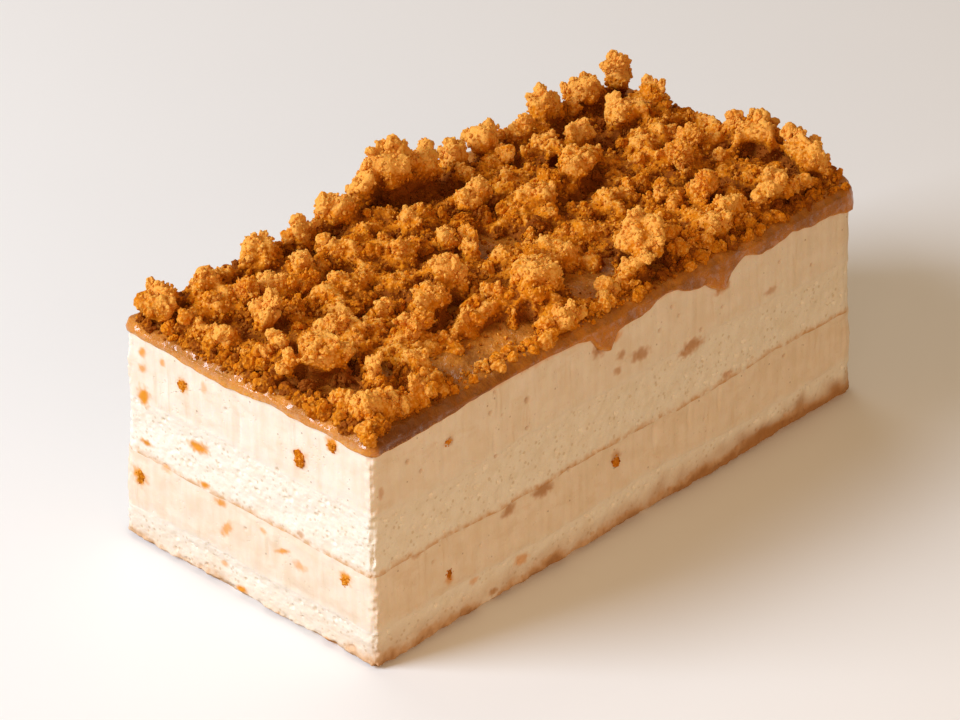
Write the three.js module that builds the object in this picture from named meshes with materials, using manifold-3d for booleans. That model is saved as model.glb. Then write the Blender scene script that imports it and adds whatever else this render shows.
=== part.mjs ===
// A cut slice of layered speculoos cake: two sponges, two creams, a spread glaze and a heap of biscuit crumbs.
// Millimetres, +Z up, +X along the slice, +Y across it, origin in the middle of the flat underside.
import * as THREE from "three";
import { mergeVertices } from "three/addons/utils/BufferGeometryUtils.js";
import Module from "manifold-3d";

const wasm = await Module();
wasm.setup();

// The whole slice
const LENGTH = 103;
const WIDTH = 48.6;
const CREAM_TOP = 35.5;
const GLAZE_THICKNESS = 1.1;
const GLAZE_TOP = CREAM_TOP + GLAZE_THICKNESS;

// How much further out each cut side stands at the underside than at the cream's top
const LEAN = { front: 1, right: 1.6, back: 2, left: 0.5 };
// Radius of each upright corner, anticlockwise from the front left one
const CORNER_RADII = { frontLeft: 0.9, frontRight: 3.4, backRight: 2.4, backLeft: 1.4 };

// How finely the outline is stepped: along a long side, along a short side and round a corner
const CAKE_STEPS = { long: 13, short: 6, corner: 3 };
const GLAZE_STEPS = { long: 56, short: 26, corner: 4 };
const INNER_RINGS = 2; // rings of faces between the middle of an interface and its edge

// The faces between the layers, from the table up: mean height, how far they ripple and the ripple's phase
const UNDERSIDE = { height: 0, ripple: 0, phase: 0 };
const BASE_SPONGE_TOP = { height: 6.2, ripple: 0.5, phase: 0.6 };
const LOWER_CREAM_TOP = { height: 14.8, ripple: 0.45, phase: 2.1 };
const MIDDLE_SPONGE_TOP = { height: 24.2, ripple: 0.55, phase: 4.0 };
const UPPER_CREAM_TOP = { height: CREAM_TOP, ripple: 0, phase: 0 };
const RIPPLE_LENGTH = 41;
const CROSS_RIPPLE_LENGTH = 27;

// The cut layers: swell is how far the middle of the cut side stands proud, rough how uneven the cut is
const SPONGE = { swell: -0.12, rough: 0.16, colour: 0xf0dfba, roughness: 0.95 };
const CREAM = { swell: 0.22, rough: 0.05, colour: 0xedcfa6, roughness: 0.55 };
const LAYERS = [
  { name: "base_sponge", from: UNDERSIDE, to: BASE_SPONGE_TOP, rows: 3, ...SPONGE },
  { name: "lower_cream", from: BASE_SPONGE_TOP, to: LOWER_CREAM_TOP, rows: 3, ...CREAM },
  { name: "middle_sponge", from: LOWER_CREAM_TOP, to: MIDDLE_SPONGE_TOP, rows: 3, ...SPONGE },
  { name: "upper_cream", from: MIDDLE_SPONGE_TOP, to: UPPER_CREAM_TOP, rows: 3, ...CREAM },
];
const WORN_EDGE = { inset: 0.9, height: 0.9 }; // the rubbed lower edge of the base sponge

// Biscuit bits that stick to the cut sides: where along the side from its middle, how high, how wide and tall
const STUCK_BITS = [
  { layer: "upper_cream", side: "left", along: -10.6, height: 28.1, wide: 2.6, tall: 3.0 },
  { layer: "upper_cream", side: "left", along: -16.8, height: 32.6, wide: 1.8, tall: 1.8 },
  { layer: "upper_cream", side: "left", along: 12.8, height: 30.2, wide: 1.9, tall: 2.1 },
  { layer: "upper_cream", side: "back", along: 31, height: 30.6, wide: 2.2, tall: 1.8 },
  { layer: "upper_cream", side: "front", along: -36.8, height: 30.2, wide: 2.0, tall: 1.4 },
  { layer: "upper_cream", side: "right", along: -9, height: 28.6, wide: 2.2, tall: 1.6 },
  { layer: "upper_cream", side: "back", along: -18, height: 27.8, wide: 2.4, tall: 1.8 },
  { layer: "lower_cream", side: "left", along: -19.4, height: 12.2, wide: 2.0, tall: 2.0 },
  { layer: "lower_cream", side: "left", along: 22.2, height: 11.2, wide: 2.2, tall: 2.8 },
  { layer: "lower_cream", side: "front", along: -37.4, height: 9.0, wide: 1.6, tall: 1.9 },
  { layer: "lower_cream", side: "front", along: -2.7, height: 11.8, wide: 1.8, tall: 2.2 },
  { layer: "lower_cream", side: "right", along: 12, height: 11.2, wide: 1.6, tall: 1.8 },
  { layer: "lower_cream", side: "back", along: 22, height: 10.2, wide: 1.8, tall: 2.2 },
];

// The glaze hangs over the top of the cream: how far at each corner, and where it has run lower or stopped higher
const GLAZE = { colour: 0xa9683a, roughness: 0.22, gap: 0.3, skin: 0.3, rim: 0.9, leastHang: 0.25, spread: 0.12 };
const HANGS = { frontLeft: 1.5, frontRight: 2.3, backRight: 1.7, backLeft: 0.8 };
const RUNS = [
  { side: "front", along: -20, width: 22, depth: -1.8 },
  { side: "front", along: -5.4, width: 2.8, depth: 3.2 },
  { side: "front", along: 8, width: 5, depth: -2.1 },
  { side: "front", along: 19.4, width: 2.6, depth: 2.5 },
  { side: "front", along: 25.2, width: 3, depth: -1.2 },
  { side: "front", along: 36, width: 4, depth: -0.8 },
  { side: "front", along: 49.5, width: 4, depth: 1.1 },
  { side: "left", along: 7, width: 9, depth: 0.6 },
  { side: "left", along: -5.6, width: 3, depth: -0.7 },
  { side: "left", along: -15, width: 7, depth: -0.4 },
  { side: "right", along: -9, width: 3.4, depth: 1.4 },
  { side: "right", along: 1, width: 5, depth: -0.9 },
  { side: "right", along: 12, width: 2.6, depth: 1.0 },
  { side: "back", along: 27, width: 3.6, depth: 1.2 },
  { side: "back", along: 8, width: 12, depth: -0.9 },
  { side: "back", along: -22, width: 2.6, depth: 1.9 },
];

// The biscuit topping
const BISCUIT = { colour: 0xc57a2c, roughness: 0.9 };
// The bed of fine crumbs that the larger ones lie in: a net of points, each moved a little off its place
const BED = { spacing: 2.75, shift: 0.3, inset: 1.2, wander: 1.2, height: 2.0, lumpiness: 0.9, sunk: -1.2 };
const BED_RIM = { height: 0.5, slope: 1.6 }; // the bed is this high at its edge, and rises from there
const NUBS = { count: 130, least: 1.6, most: 3.2, rise: 0.85 };
// Places where the glaze shows between the crumbs
const BARE_SPOTS = [
  { x: -30, y: -18.5, radius: 4.6 },
  { x: -20, y: -19, radius: 4.2 },
  { x: 1, y: -16.5, radius: 3.6 },
  { x: -37.5, y: -12, radius: 2.6 },
  { x: -1, y: 1, radius: 2.6 },
  { x: 45, y: 1.5, radius: 3.2 },
];
// The largest lumps, chosen by eye: place, size along and across, height, turn about Z and tilt, in degrees
const LUMPS = [
  { x: -48.0, y: 20.4, long: 6.6, wide: 6.0, tall: 6.0, turn: 20, tilt: 0 },
  { x: -43.4, y: 17.6, long: 5.8, wide: 5.2, tall: 6.2, turn: 60, tilt: 10 },
  { x: -37.4, y: 19.8, long: 5.2, wide: 4.8, tall: 4.8, turn: 0, tilt: 0 },
  { x: -30.0, y: 19.6, long: 8.6, wide: 6.2, tall: 6.2, turn: 5, tilt: 0 },
  { x: -21.4, y: 19.6, long: 6.4, wide: 5.6, tall: 5.8, turn: 40, tilt: 0 },
  { x: -13.8, y: 19.8, long: 7.8, wide: 6.4, tall: 7.2, turn: -20, tilt: 0 },
  { x: -7.6, y: 20.6, long: 5.8, wide: 5.2, tall: 8.6, turn: 30, tilt: 0 },
  { x: -2.4, y: 20.4, long: 8.2, wide: 6.6, tall: 12.6, turn: -10, tilt: 0 },
  { x: 3.2, y: 19.2, long: 6.8, wide: 5.8, tall: 9.4, turn: 30, tilt: 0 },
  { x: 10.4, y: 20.2, long: 6.2, wide: 5.2, tall: 6.0, turn: 10, tilt: 0 },
  { x: 17.6, y: 20.8, long: 6.2, wide: 5.4, tall: 7.4, turn: 70, tilt: 0 },
  { x: 24.2, y: 18.6, long: 6.0, wide: 5.0, tall: 6.4, turn: 0, tilt: 0 },
  { x: 30.8, y: 20.0, long: 6.8, wide: 6.2, tall: 8.2, turn: -25, tilt: 0 },
  { x: 40.4, y: 20.4, long: 7.6, wide: 5.8, tall: 7.0, turn: 15, tilt: 0 },
  { x: 47.0, y: 20.4, long: 5.8, wide: 5.4, tall: 7.6, turn: 50, tilt: 0 },
  { x: 47.4, y: 12.4, long: 4.8, wide: 6.0, tall: 5.2, turn: 0, tilt: 0 },
  { x: -47.6, y: 7.6, long: 5.2, wide: 4.6, tall: 4.4, turn: 10, tilt: 0 },
  { x: -42.0, y: 6.4, long: 6.4, wide: 5.4, tall: 6.0, turn: 40, tilt: 0 },
  { x: -33.0, y: 10.8, long: 7.6, wide: 5.4, tall: 5.0, turn: -35, tilt: 8 },
  { x: -27.6, y: 5.0, long: 6.8, wide: 5.6, tall: 5.8, turn: -20, tilt: 0 },
  { x: -44.4, y: -8.2, long: 8.6, wide: 7.4, tall: 7.8, turn: -30, tilt: 0 },
  { x: -38.0, y: -2.2, long: 6.0, wide: 4.4, tall: 5.0, turn: 10, tilt: 0 },
  { x: -47.6, y: -19.4, long: 5.6, wide: 5.0, tall: 4.6, turn: 0, tilt: 0 },
  { x: -36.6, y: -17.8, long: 6.4, wide: 5.2, tall: 5.4, turn: 30, tilt: 0 },
  { x: -36.4, y: -21.6, long: 2.0, wide: 5.4, tall: 2.8, turn: 20, tilt: 28 },
  { x: -20.4, y: -12.8, long: 6.4, wide: 2.6, tall: 2.8, turn: -50, tilt: 0 },
  { x: -21.8, y: -6.4, long: 7.6, wide: 6.2, tall: 6.0, turn: 15, tilt: 0 },
  { x: -8.6, y: -15.0, long: 8.8, wide: 7.6, tall: 7.8, turn: -10, tilt: 0 },
  { x: -12.6, y: 6.0, long: 6.2, wide: 5.0, tall: 5.2, turn: 50, tilt: 0 },
  { x: 3.8, y: 9.6, long: 6.8, wide: 6.2, tall: 6.2, turn: 0, tilt: 0 },
  { x: 9.8, y: 3.4, long: 7.8, wide: 5.8, tall: 5.8, turn: -40, tilt: 10 },
  { x: 21.8, y: 5.0, long: 8.6, wide: 7.0, tall: 7.2, turn: 10, tilt: 0 },
  { x: 30.0, y: 11.6, long: 6.8, wide: 5.6, tall: 6.0, turn: -15, tilt: 0 },
  { x: 39.6, y: 11.0, long: 7.6, wide: 6.0, tall: 6.2, turn: -10, tilt: 0 },
  { x: 34.2, y: -3.4, long: 6.4, wide: 5.0, tall: 6.0, turn: 70, tilt: 0 },
  { x: 47.2, y: -8.8, long: 11.6, wide: 7.0, tall: 7.2, turn: 80, tilt: 0 },
  { x: 46.6, y: -17.4, long: 8.4, wide: 7.2, tall: 7.4, turn: 70, tilt: 0 },
  { x: 30.2, y: -12.4, long: 6.8, wide: 5.6, tall: 6.0, turn: 10, tilt: 0 },
  { x: 28.0, y: -19.2, long: 6.6, wide: 5.2, tall: 5.6, turn: -15, tilt: 0 },
  { x: 10.6, y: -17.6, long: 9.0, wide: 7.4, tall: 8.4, turn: 25, tilt: 0 },
  { x: 37.6, y: -19.4, long: 7.0, wide: 5.6, tall: 6.2, turn: -5, tilt: 0 },
];
const FINE_GIRTH = 6.2; // lumps broader than this start from the rounder of the two rounds
const LUMP_SEAT = 0.46; // height of a lump's middle over the glaze, as a share of its height
// The broken knob on each lump: its least and most size and its place, as shares of the lump's size
const KNOB = { least: 0.36, most: 0.52, reach: 0.36, rise: 0.42 };
// Smaller crumbs, strewn by rule: how many, their radius, how close they may lie, how far they stand up
const STREWN = [
  { count: 32, least: 1.6, most: 2.7, spacing: 0.74, lift: 0.5 },
  { count: 28, least: 0.9, most: 1.5, spacing: 0.78, lift: 0.9 },
];
const MOST_TRIES = 6000;
const CRUMB_JITTER = 0.24; // share of its radius by which a corner of a crumb is pushed in or out
const SEED = 202;

// A repeatable draw between 0 and 1
let state = SEED;
function draw() {
  state = (state * 16807) % 2147483647;
  return state / 2147483647;
}

function between(least, most) {
  return least + (most - least) * draw();
}

// The slice seen from above at one height: points anticlockwise from the front left corner, with the way out.
function outlineAt(z, grow, steps) {
  const flare = 1 - z / CREAM_TOP;
  const left = -LENGTH / 2 - LEAN.left * flare - grow;
  const right = LENGTH / 2 + LEAN.right * flare + grow;
  const front = -WIDTH / 2 - LEAN.front * flare - grow;
  const back = WIDTH / 2 + LEAN.back * flare + grow;
  const radiusOf = (name) => Math.max(0.3, CORNER_RADII[name] + grow);
  const corners = [
    { x: left, y: front, inX: 1, inY: 1, radius: radiusOf("frontLeft"), count: steps.long },
    { x: right, y: front, inX: -1, inY: 1, radius: radiusOf("frontRight"), count: steps.short },
    { x: right, y: back, inX: -1, inY: -1, radius: radiusOf("backRight"), count: steps.long },
    { x: left, y: back, inX: 1, inY: -1, radius: radiusOf("backLeft"), count: steps.short },
  ];
  const arcs = corners.map((corner, turn) => {
    const points = [];
    for (let i = 0; i <= steps.corner; i++) {
      const angle = Math.PI + (turn + i / steps.corner) * (Math.PI / 2);
      const out = { x: Math.cos(angle), y: Math.sin(angle) };
      points.push({
        x: corner.x + corner.inX * corner.radius + corner.radius * out.x,
        y: corner.y + corner.inY * corner.radius + corner.radius * out.y,
        out,
      });
    }
    return points;
  });
  const outline = [];
  arcs.forEach((arc, turn) => {
    outline.push(...arc);
    const start = arc[arc.length - 1];
    const end = arcs[(turn + 1) % arcs.length][0];
    const count = corners[turn].count;
    for (let i = 1; i < count; i++) {
      const t = i / count;
      outline.push({
        x: start.x + (end.x - start.x) * t,
        y: start.y + (end.y - start.y) * t,
        out: start.out,
      });
    }
  });
  return outline;
}

// Height of the face between two layers, which ripples a little because each was spread by hand.
function heightOf({ height, ripple, phase }, x, y) {
  const along = Math.sin((2 * Math.PI * x) / RIPPLE_LENGTH + phase);
  const across = Math.sin((2 * Math.PI * (y - 0.4 * x)) / CROSS_RIPPLE_LENGTH + 2 * phase);
  return height + ripple * (0.6 * along + 0.4 * across);
}

// A closed solid from its points and the corners of its triangles.
function solidFromArrays(positions, triangles) {
  const mesh = new wasm.Mesh({
    numProp: 3,
    vertProperties: new Float32Array(positions),
    triVerts: new Uint32Array(triangles),
  });
  return new wasm.Manifold(mesh);
}

// One ring of points on the face between two layers, from 0 in the middle to 1 at the edge.
function faceRing(face, share, steps) {
  return outlineAt(face.height, 0, steps).map(({ x, y }) => {
    const edgeHeight = heightOf(face, x, y);
    return [x * share, y * share, share === 1 ? edgeHeight : heightOf(face, x * share, y * share)];
  });
}

// A closed solid from equally long rows of points, bottom to top, closed by a middle point at both ends.
// The rows of an upper face join on the other diagonal, so that two layers share the same facets.
function solidFromRows(rows, bottomMiddle, topMiddle, upperFrom) {
  const count = rows[0].length;
  const positions = [...rows.flat(2), ...bottomMiddle, ...topMiddle];
  const bottom = rows.length * count;
  const top = bottom + 1;
  const triangles = [];
  for (let i = 0; i < count; i++) {
    const next = (i + 1) % count;
    triangles.push(bottom, next, i);
    for (let row = 0; row + 1 < rows.length; row++) {
      const a = row * count + i;
      const b = row * count + next;
      const c = a + count;
      const d = b + count;
      if (row >= upperFrom) triangles.push(a, b, c, b, d, c);
      else triangles.push(a, b, d, a, d, c);
    }
    const last = (rows.length - 1) * count;
    triangles.push(last + i, last + next, top);
  }
  return solidFromArrays(positions, triangles);
}

function meshFromSolid(name, solid, { colour, roughness }) {
  const { numProp, vertProperties, triVerts } = solid.getMesh();
  const positions = new Float32Array((vertProperties.length / numProp) * 3);
  for (let i = 0; i < positions.length / 3; i++) {
    positions.set(vertProperties.subarray(i * numProp, i * numProp + 3), i * 3);
  }
  const geometry = new THREE.BufferGeometry();
  geometry.setAttribute("position", new THREE.BufferAttribute(positions, 3));
  geometry.setIndex(new THREE.BufferAttribute(triVerts, 1));
  geometry.computeVertexNormals();
  const material = new THREE.MeshStandardMaterial({ color: colour, roughness, metalness: 0 });
  const mesh = new THREE.Mesh(geometry, material);
  mesh.name = name;
  return mesh;
}

// A chunk of broken biscuit: a round with each corner pushed in or out by its own amount.
function chunk({ long, wide, tall, detail, turn = 0, tilt = 0, x, y, z }) {
  const round = new THREE.IcosahedronGeometry(0.5, detail);
  round.deleteAttribute("normal");
  round.deleteAttribute("uv");
  const shape = mergeVertices(round, 1e-4);
  const corners = shape.attributes.position;
  const corner = new THREE.Vector3();
  for (let i = 0; i < corners.count; i++) {
    corner.fromBufferAttribute(corners, i).multiplyScalar(1 + CRUMB_JITTER * (2 * draw() - 1));
    corners.setXYZ(i, corner.x, corner.y, corner.z);
  }
  shape.scale(long, wide, tall);
  shape.rotateX(THREE.MathUtils.degToRad(tilt));
  shape.rotateZ(THREE.MathUtils.degToRad(turn));
  shape.translate(x, y, z);
  return solidFromArrays(shape.attributes.position.array, shape.index.array);
}

// The smaller knob that stands out of the upper side of a lump.
function knobOn(lump) {
  const angle = between(0, 2 * Math.PI);
  const rise = between(-0.1, 0.75);
  const reach = KNOB.reach * Math.sqrt(1 - 0.6 * rise ** 2);
  const size = ((lump.long + lump.wide) / 2) * between(KNOB.least, KNOB.most);
  return chunk({
    long: size,
    wide: size * between(0.7, 1),
    tall: size * between(0.7, 1),
    detail: 0,
    turn: between(0, 360),
    tilt: between(-40, 40),
    x: lump.x + lump.long * reach * Math.cos(angle),
    y: lump.y + lump.wide * reach * Math.sin(angle),
    z: lump.z + lump.tall * KNOB.rise * rise,
  });
}

// Where a place on a cut side lies.
function placeOnSide(side, along, z) {
  const flare = 1 - z / CREAM_TOP;
  const halfLength = { left: LENGTH / 2 + LEAN.left * flare, right: LENGTH / 2 + LEAN.right * flare };
  const halfWidth = { front: WIDTH / 2 + LEAN.front * flare, back: WIDTH / 2 + LEAN.back * flare };
  return {
    front: { x: along, y: -halfWidth.front },
    back: { x: along, y: halfWidth.back },
    left: { x: -halfLength.left, y: along },
    right: { x: halfLength.right, y: along },
  }[side];
}

function stuckBit({ side, along, height, wide, tall }) {
  const { x, y } = placeOnSide(side, along, height);
  const turned = side === "left" || side === "right";
  const depth = Math.min(wide, tall);
  return chunk({
    long: turned ? depth : wide,
    wide: turned ? wide : depth,
    tall,
    detail: 0,
    x,
    y,
    z: height,
  });
}

// One layer of the cake, from the face below it to the face above.
function makeLayer(layer) {
  const { from, to, rows, swell, rough } = layer;
  const rings = [];
  const lower = faceRing(from, 1, CAKE_STEPS);
  const upper = faceRing(to, 1, CAKE_STEPS);
  if (from === UNDERSIDE) {
    const inset = outlineAt(0, -WORN_EDGE.inset, CAKE_STEPS);
    rings.push(inset.map(({ x, y }) => [x, y, 0]));
    lower.forEach((point) => {
      point[2] = WORN_EDGE.height * between(0.5, 1.2);
    });
  } else {
    for (let ring = 1; ring < INNER_RINGS; ring++) {
      rings.push(faceRing(from, ring / INNER_RINGS, CAKE_STEPS));
    }
  }
  rings.push(lower);
  for (let row = 1; row < rows; row++) {
    const t = row / rows;
    const side = outlineAt(from.height + (to.height - from.height) * t, 0, CAKE_STEPS);
    rings.push(
      side.map(({ x, y, out }, i) => {
        const proud = swell * Math.sin(Math.PI * t) + between(-rough, rough);
        return [x + out.x * proud, y + out.y * proud, lower[i][2] + (upper[i][2] - lower[i][2]) * t];
      }),
    );
  }
  const upperFrom = rings.length;
  rings.push(upper);
  for (let ring = INNER_RINGS - 1; ring > 0; ring--) {
    rings.push(faceRing(to, ring / INNER_RINGS, CAKE_STEPS));
  }
  const bottomMiddle = [0, 0, heightOf(from, 0, 0)];
  const topMiddle = [0, 0, heightOf(to, 0, 0)];
  let solid = solidFromRows(rings, bottomMiddle, topMiddle, upperFrom);
  for (const bit of STUCK_BITS.filter((b) => b.layer === layer.name)) solid = solid.add(stuckBit(bit));
  return solid;
}

// How far below the cream's top the glaze hangs at a point of the outline, from corner to corner, with its runs.
function hangAt({ x, y }) {
  const ease = THREE.MathUtils.smoothstep;
  const toRight = ease(x, -LENGTH / 2, LENGTH * 0.1);
  const toBack = ease(y, -WIDTH / 2, WIDTH / 2);
  const front = THREE.MathUtils.lerp(HANGS.frontLeft, HANGS.frontRight, toRight);
  const back = THREE.MathUtils.lerp(HANGS.backLeft, HANGS.backRight, toRight);
  let depth = THREE.MathUtils.lerp(front, back, toBack);
  for (const run of RUNS) {
    const middle = placeOnSide(run.side, run.along, CREAM_TOP);
    const distance = Math.hypot(x - middle.x, y - middle.y) / run.width;
    depth += run.depth * Math.exp(-2 * distance ** 2);
  }
  return Math.max(GLAZE.leastHang, depth);
}

// The glaze: flat on the cream, level on top, with a soft rim and a thin skirt over the cut sides.
function makeGlaze() {
  const outline = outlineAt(CREAM_TOP, 0, GLAZE_STEPS);
  const hung = (reach, share) =>
    outline.map((point) => {
      const depth = hangAt(point);
      const swollen = reach + GLAZE.spread * depth * share + (reach > GLAZE.gap ? 0.1 * depth : 0);
      return [point.x + point.out.x * swollen, point.y + point.out.y * swollen, CREAM_TOP - depth * share];
    });
  const level = (grow, z) => outlineAt(CREAM_TOP, grow, GLAZE_STEPS).map(({ x, y }) => [x, y, z]);
  const outside = GLAZE.gap + GLAZE.skin;
  const rows = [
    level(GLAZE.gap, CREAM_TOP),
    hung(GLAZE.gap, 1),
    hung(outside, 0.88),
    hung(outside, 0.3),
    level(outside - 0.1, GLAZE_TOP - GLAZE.rim),
    level(outside - 0.7, GLAZE_TOP - GLAZE.rim * 0.3),
    level(outside - 1.6, GLAZE_TOP),
  ];
  return solidFromRows(rows, [0, 0, CREAM_TOP], [0, 0, GLAZE_TOP], rows.length);
}

// How far the crumb bed keeps from the edge, which wanders along the outline.
function bedInset(x, y) {
  return BED.inset + BED.wander * Math.sin(x / 3.1 + y / 4.3) * Math.cos(y / 2.9 - x / 7.7);
}

function inBareSpot(x, y, margin) {
  return BARE_SPOTS.some((spot) => Math.hypot(x - spot.x, y - spot.y) < spot.radius + margin);
}

// Round nubs spread over the bed, which give it its lumpy top.
const nubs = Array.from({ length: NUBS.count }, () => ({
  x: between(-LENGTH / 2, LENGTH / 2),
  y: between(-WIDTH / 2, WIDTH / 2),
  radius: between(NUBS.least, NUBS.most),
}));

// Height of the bed over the glaze, below zero where the glaze is bare.
function bedHeight(x, y) {
  const reach = bedInset(x, y);
  const fromEdge = Math.min(LENGTH / 2 - reach - Math.abs(x), WIDTH / 2 - reach - Math.abs(y));
  if (fromEdge < 0 || inBareSpot(x, y, 0)) return BED.sunk;
  let height = BED.height + BED.lumpiness * Math.sin(x / 4.1 + Math.sin(y / 3.3)) * Math.cos(y / 3.7);
  for (const nub of nubs) {
    const share = Math.hypot(x - nub.x, y - nub.y) / nub.radius;
    if (share < 1) height = Math.max(height, BED.height + nub.radius * NUBS.rise * Math.sqrt(1 - share ** 2));
  }
  return Math.min(height, BED_RIM.height + fromEdge * BED_RIM.slope);
}

// The low bed that all the larger crumbs lie in, from a net of points over the glaze.
function crumbBed() {
  const across = Math.round(LENGTH / BED.spacing);
  const deep = Math.round(WIDTH / BED.spacing);
  const floor = GLAZE_TOP + BED.sunk - 1;
  const positions = [];
  for (const level of ["under", "upper"]) {
    for (let j = 0; j <= deep; j++) {
      for (let i = 0; i <= across; i++) {
        const inner = i > 0 && i < across && j > 0 && j < deep;
        const shift = inner && level === "upper" ? BED.shift * BED.spacing : 0;
        const x = (i / across - 0.5) * LENGTH + between(-shift, shift);
        const y = (j / deep - 0.5) * WIDTH + between(-shift, shift);
        positions.push(x, y, level === "under" ? floor : GLAZE_TOP + bedHeight(x, y));
      }
    }
  }
  const columns = across + 1;
  const levelSize = columns * (deep + 1);
  const triangles = [];
  const quad = (a, b, c, d) => triangles.push(a, b, c, a, c, d);
  for (let j = 0; j < deep; j++) {
    for (let i = 0; i < across; i++) {
      const a = j * columns + i;
      const [b, c, d] = [a + 1, a + 1 + columns, a + columns];
      quad(a, d, c, b);
      quad(a + levelSize, b + levelSize, c + levelSize, d + levelSize);
    }
  }
  const wall = (a, b) => quad(a, b, b + levelSize, a + levelSize);
  for (let i = 0; i < across; i++) {
    wall(i, i + 1);
    wall(deep * columns + i + 1, deep * columns + i);
  }
  for (let j = 0; j < deep; j++) {
    wall((j + 1) * columns, j * columns);
    wall(j * columns + across, (j + 1) * columns + across);
  }
  return solidFromArrays(positions, triangles);
}

// Places for the strewn crumbs: each is drawn, and kept if it is on the bed and clear of those already there.
function strewnPlaces() {
  const placed = LUMPS.map(({ x, y, long, wide }) => ({ x, y, radius: (long + wide) / 4 }));
  const strewn = [];
  for (const kind of STREWN) {
    for (let found = 0, tries = 0; found < kind.count && tries < MOST_TRIES; tries++) {
      const radius = between(kind.least, kind.most);
      const x = between(-LENGTH / 2, LENGTH / 2);
      const y = between(-WIDTH / 2, WIDTH / 2);
      const rise = kind.lift * draw();
      const reach = bedInset(x, y) + radius * 0.2;
      if (Math.abs(x) > LENGTH / 2 - reach || Math.abs(y) > WIDTH / 2 - reach) continue;
      if (inBareSpot(x, y, radius * 0.6)) continue;
      const crowded = placed.some(
        (other) => Math.hypot(x - other.x, y - other.y) < (radius + other.radius) * kind.spacing,
      );
      if (crowded) continue;
      placed.push({ x, y, radius });
      strewn.push({ x, y, radius, rise });
      found++;
    }
  }
  return strewn;
}

// The heap: bed, lumps and crumbs in one, cut flat where it lies on the glaze.
function makeCrumbs() {
  const pieces = [crumbBed()];
  for (const place of LUMPS) {
    const detail = (place.long + place.wide) / 2 > FINE_GIRTH ? 1 : 0;
    const lump = { ...place, z: GLAZE_TOP + place.tall * LUMP_SEAT, detail };
    pieces.push(chunk(lump), knobOn(lump));
  }
  for (const { x, y, radius, rise } of strewnPlaces()) {
    pieces.push(
      chunk({
        x,
        y,
        z: GLAZE_TOP + Math.max(0, bedHeight(x, y)) + radius * (rise - 0.1),
        long: 2 * radius * between(0.9, 1.3),
        wide: 2 * radius * between(0.75, 1),
        tall: 2 * radius * between(0.75, 1.1),
        detail: 0,
        turn: between(0, 360),
        tilt: between(-35, 35),
      }),
    );
  }
  const heap = wasm.Manifold.union(pieces).trimByPlane([0, 0, 1], GLAZE_TOP);
  return heap.decompose().sort((a, b) => b.volume() - a.volume())[0];
}

const slice = new THREE.Group();
for (const layer of LAYERS) slice.add(meshFromSolid(layer.name, makeLayer(layer), layer));
slice.add(meshFromSolid("spread_glaze", makeGlaze(), GLAZE));
slice.add(meshFromSolid("biscuit_crumbs", makeCrumbs(), BISCUIT));

export default slice;
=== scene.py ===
import math
import random

import bmesh
import bpy
from mathutils import Euler, Matrix, Vector, noise
from mathutils.bvhtree import BVHTree
from mathutils.kdtree import KDTree


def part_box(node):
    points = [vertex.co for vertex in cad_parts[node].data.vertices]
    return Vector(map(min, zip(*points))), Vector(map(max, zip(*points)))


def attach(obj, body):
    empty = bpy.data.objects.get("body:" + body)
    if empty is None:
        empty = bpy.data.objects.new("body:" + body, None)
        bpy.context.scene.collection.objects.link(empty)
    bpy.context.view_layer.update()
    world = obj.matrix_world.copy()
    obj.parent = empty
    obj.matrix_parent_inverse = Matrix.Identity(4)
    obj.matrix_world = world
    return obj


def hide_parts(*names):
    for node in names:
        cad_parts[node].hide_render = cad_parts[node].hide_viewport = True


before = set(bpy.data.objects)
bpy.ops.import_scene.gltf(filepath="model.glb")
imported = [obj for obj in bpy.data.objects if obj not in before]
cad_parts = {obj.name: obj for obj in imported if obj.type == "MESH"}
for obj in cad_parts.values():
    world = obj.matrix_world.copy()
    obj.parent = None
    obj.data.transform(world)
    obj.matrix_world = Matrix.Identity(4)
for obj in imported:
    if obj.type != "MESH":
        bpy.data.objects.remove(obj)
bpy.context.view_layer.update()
scene = bpy.context.scene
mm = 0.001


# Helpers for shader trees

class Wire:  # one socket, so that sums and products of sockets can be written as plain expressions
    def __init__(self, paint, socket):
        self.paint = paint
        self.socket = socket

    def maths(self, operation, first, second):
        return self.paint.node("ShaderNodeMath", {"operation": operation}, {0: first, 1: second})

    def __add__(self, other):
        return self.maths("ADD", self, other)

    def __radd__(self, other):
        return self.maths("ADD", other, self)

    def __sub__(self, other):
        return self.maths("SUBTRACT", self, other)

    def __rsub__(self, other):
        return self.maths("SUBTRACT", other, self)

    def __mul__(self, other):
        return self.maths("MULTIPLY", self, other)

    def __rmul__(self, other):
        return self.maths("MULTIPLY", other, self)


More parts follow.
